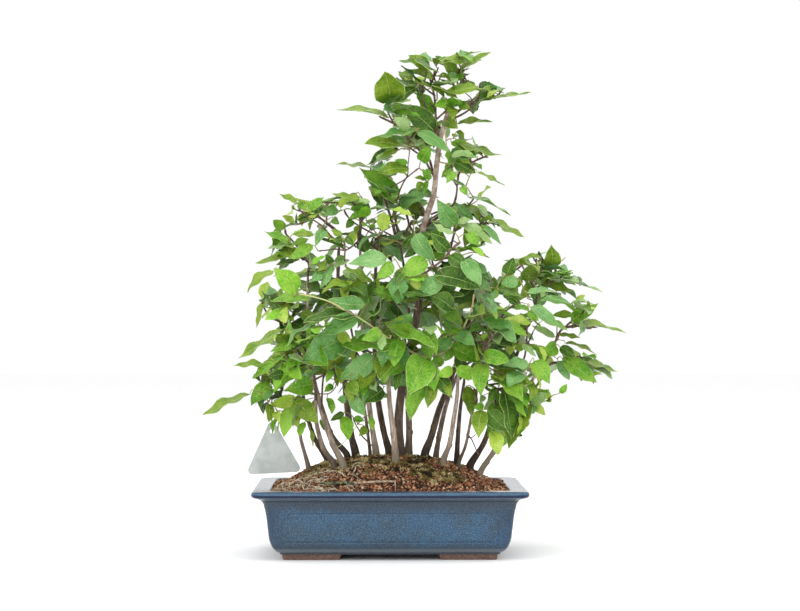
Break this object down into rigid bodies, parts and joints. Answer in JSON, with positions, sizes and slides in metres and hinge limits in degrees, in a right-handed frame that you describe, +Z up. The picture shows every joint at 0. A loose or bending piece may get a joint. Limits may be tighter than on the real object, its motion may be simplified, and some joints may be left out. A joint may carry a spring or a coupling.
{
  "type": "stewartia bonsai",
  "caption": "Broadleaf bonsai: a clump of slim upright stems with a leafy crown, on a mound of granular soil in an oblong glazed pot with bracket feet and a small hang tag.",
  "frame": {"origin": "middle of the whole part's box, at the level the pot's feet stand on", "axes": "+Z up along the stems, +X to the right along the pot's long side, +Y to the back, so that the front faces -Y"},
  "size_m": [0.3746, 0.232, 0.4434],
  "materials": {
    "glazed_pot": "glossy mottled slate-blue glaze over stoneware",
    "akadama_soil": "matte, granular",
    "bark": "matte, grey-pinkish brown bark",
    "leaves": "satin green leaf",
    "silver_tag": "satin silver"
  },
  "bodies": {
    "root": {"bough_far_left": "bark", "bough_left_fork": "bark", "bough_right_fork": "bark", "bough_upper_left": "bark", "foliage_apex": "leaves", "foliage_apex_left": "leaves", "foliage_apex_right": "leaves", "foliage_back": "leaves", "foliage_back_left": "leaves", "foliage_back_left_low": "leaves", "foliage_back_right": "leaves", "foliage_far_left": "leaves", "foliage_far_right": "leaves", "foliage_front": "leaves", "foliage_front_right": "leaves", "foliage_front_skirt": "leaves", "foliage_front_skirt_left": "leaves", "foliage_front_upper": "leaves", "foliage_left": "leaves", "foliage_left_crest": "leaves", "foliage_left_low": "leaves", "foliage_left_skirt": "leaves", "foliage_left_top": "leaves", "foliage_left_upper": "leaves", "foliage_mid_left": "leaves", "foliage_mid_right": "leaves", "foliage_middle": "leaves", "foliage_right_centre": "leaves", "foliage_right_edge": "leaves", "foliage_right_front": "leaves", "foliage_right_low": "leaves", "foliage_right_skirt": "leaves", "foliage_right_upper": "leaves", "foliage_upper_back": "leaves", "foliage_upper_centre_back": "leaves", "foliage_upper_left": "leaves", "foliage_upper_right": "leaves", "hang_tag": "silver_tag", "pot": "glazed_pot", "soil": "akadama_soil", "stem_01": "bark", "stem_02": "bark", "stem_03": "bark", "stem_04": "bark", "stem_05": "bark", "stem_06": "bark", "stem_07": "bark", "stem_08": "bark", "stem_09": "bark", "stem_10": "bark", "stem_11": "bark", "stem_12": "bark", "stem_13": "bark", "stem_14": "bark", "stem_15": "bark", "stem_16": "bark", "stem_17": "bark", "stem_18": "bark", "stem_19": "bark", "trunk": "bark"}
  },
  "joints": []
}
